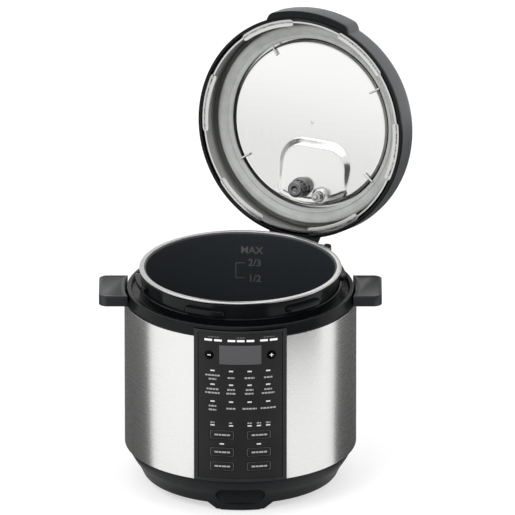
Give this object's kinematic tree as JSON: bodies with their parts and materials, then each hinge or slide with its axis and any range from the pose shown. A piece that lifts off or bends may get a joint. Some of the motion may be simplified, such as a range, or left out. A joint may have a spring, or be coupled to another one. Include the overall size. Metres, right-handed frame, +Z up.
{
  "type": "electric pressure cooker",
  "caption": "Electric pressure cooker with a steel shell, front control panel, side handles and a hinged turn-to-lock lid, shown with the lid open.",
  "frame": {"origin": "centre of the bottom cover's flat underside, 6 mm above the surface that the feet stand on", "axes": "+Z up; -Y is the front, with the control panel; +X is the user's right"},
  "size_m": [0.3731, 0.3782, 0.5279],
  "materials": {
    "satin_black": "satin moulded black",
    "gloss_black": "gloss black",
    "panel_black": "fine matt black",
    "cover_grey": "satin dark grey",
    "rubber": "matt rubber",
    "display_glass": "tinted gloss window",
    "board_green": "circuit board",
    "brushed_steel": "brushed",
    "bright_steel": "bright satin",
    "dark_steel": "dark",
    "float_seal_rubber": "soft silicone",
    "aluminium": "cast, plain",
    "pot_coating": "dark non-stick coating with a bare rim",
    "silicone": "translucent grey silicone",
    "clear_plastic": "clear",
    "float_red": "red indicator"
  },
  "bodies": {
    "base_unit": {"base_housing": "satin_black", "bottom_cover": "panel_black", "base_screw_1": "brushed_steel", "base_screw_2": "brushed_steel", "base_screw_3": "brushed_steel", "foot_pad_1": "rubber", "foot_pad_2": "rubber", "foot_pad_3": "rubber", "power_inlet": "gloss_black", "outer_shell": "brushed_steel", "collar": "satin_black", "handle_right": "satin_black", "handle_left": "satin_black", "locking_flange": "gloss_black", "inner_liner": "aluminium", "liner_floor": "aluminium", "heater_plate": "aluminium", "heating_element": "dark_steel", "sensor_cup": "brushed_steel", "sensor_spring": "brushed_steel", "pressure_switch": "dark_steel", "main_board": "board_green", "control_board": "board_green", "panel_frame": "satin_black", "panel_face": "panel_black", "display_window": "display_glass", "display_module": "dark_steel", "cup_bracket": "satin_black", "hinge_rail": "brushed_steel"},
    "lid_carriage": {"hinge_carriage": "satin_black", "hinge_pin": "brushed_steel", "hinge_spring_left": "brushed_steel", "hinge_spring_right": "brushed_steel"},
    "lid": {"lid_cover": "cover_grey", "pressure_lid": "bright_steel", "inner_plate": "bright_steel", "sealing_ring": "silicone", "ring_clip_1": "brushed_steel", "ring_clip_2": "brushed_steel", "ring_clip_3": "brushed_steel", "ring_clip_4": "brushed_steel", "valve_shield": "dark_steel", "steam_pipe": "brushed_steel", "float_seat": "brushed_steel"},
    "steam_valve": {"steam_valve": "satin_black"},
    "float_valve": {"float_valve": "float_red", "float_seal": "float_seal_rubber"},
    "inner_pot": {"inner_pot": "pot_coating"},
    "condensate_cup": {"condensate_cup": "clear_plastic"},
    "temperature_sensor": {"temperature_sensor": "aluminium"},
    "upper_left_key": {"upper_left_key": "panel_black"},
    "upper_right_key": {"upper_right_key": "panel_black"},
    "middle_left_key": {"middle_left_key": "panel_black"},
    "middle_right_key": {"middle_right_key": "panel_black"},
    "lower_left_key": {"lower_left_key": "panel_black"},
    "lower_right_key": {"lower_right_key": "panel_black"},
    "minus_button": {"minus_button": "panel_black"},
    "plus_button": {"plus_button": "panel_black"}
  },
  "joints": [
    {"name": "lid_turn", "type": "hinge", "parent": "base_unit", "child": "lid_carriage", "pos_m": [0, 0, 0.2414], "axis": [0, 0, 1], "range_deg": [0, 26]},
    {"name": "lid_hinge", "type": "hinge", "parent": "lid_carriage", "child": "lid", "pos_m": [0.06225, 0.12763, 0.2414], "axis": [-0.8988, 0.4384, 0], "range_deg": [-99.3, 0], "stiffness_Nm_per_rad": 0.4},
    {"name": "steam_valve_turn", "type": "hinge", "parent": "lid", "child": "steam_valve", "pos_m": [0.08205, 0.1794, 0.2964], "axis": [0.4326, 0.887, -0.1616], "range_deg": [0, 60]},
    {"name": "float_rise", "type": "slide", "parent": "lid", "child": "float_valve", "axis": [0.4326, 0.887, -0.1616], "range_m": [0, 0.006]},
    {"name": "pot_lift", "type": "slide", "parent": "base_unit", "child": "inner_pot", "axis": [0, 0, 1], "range_m": [0, 0.2]},
    {"name": "cup_pull", "type": "slide", "parent": "base_unit", "child": "condensate_cup", "axis": [0, 1, 0], "range_m": [0, 0.06]},
    {"name": "sensor_press", "type": "slide", "parent": "base_unit", "child": "temperature_sensor", "axis": [0, 0, 1], "range_m": [-0.002, 0], "stiffness_N_per_m": 1000, "springref_m": 0.002, "deforming": ["sensor_spring"]},
    {"name": "upper_left_key_press", "type": "slide", "parent": "base_unit", "child": "upper_left_key", "axis": [-0.1578, -0.9875, 0], "range_m": [-0.0008, 0], "stiffness_N_per_m": 1500, "springref_m": 0.0006},
    {"name": "upper_right_key_press", "type": "slide", "parent": "base_unit", "child": "upper_right_key", "axis": [0.1578, -0.9875, 0], "range_m": [-0.0008, 0], "stiffness_N_per_m": 1500, "springref_m": 0.0006},
    {"name": "middle_left_key_press", "type": "slide", "parent": "base_unit", "child": "middle_left_key", "axis": [-0.1578, -0.9875, 0], "range_m": [-0.0008, 0], "stiffness_N_per_m": 1500, "springref_m": 0.0006},
    {"name": "middle_right_key_press", "type": "slide", "parent": "base_unit", "child": "middle_right_key", "axis": [0.1578, -0.9875, 0], "range_m": [-0.0008, 0], "stiffness_N_per_m": 1500, "springref_m": 0.0006},
    {"name": "lower_left_key_press", "type": "slide", "parent": "base_unit", "child": "lower_left_key", "axis": [-0.1578, -0.9875, 0], "range_m": [-0.0008, 0], "stiffness_N_per_m": 1500, "springref_m": 0.0006},
    {"name": "lower_right_key_press", "type": "slide", "parent": "base_unit", "child": "lower_right_key", "axis": [0.1578, -0.9875, 0], "range_m": [-0.0008, 0], "stiffness_N_per_m": 1500, "springref_m": 0.0006},
    {"name": "minus_button_press", "type": "slide", "parent": "base_unit", "child": "minus_button", "axis": [-0.2654, -0.9641, 0], "range_m": [-0.0008, 0], "stiffness_N_per_m": 1500, "springref_m": 0.0006},
    {"name": "plus_button_press", "type": "slide", "parent": "base_unit", "child": "plus_button", "axis": [0.2654, -0.9641, 0], "range_m": [-0.0008, 0], "stiffness_N_per_m": 1500, "springref_m": 0.0006}
  ]
}
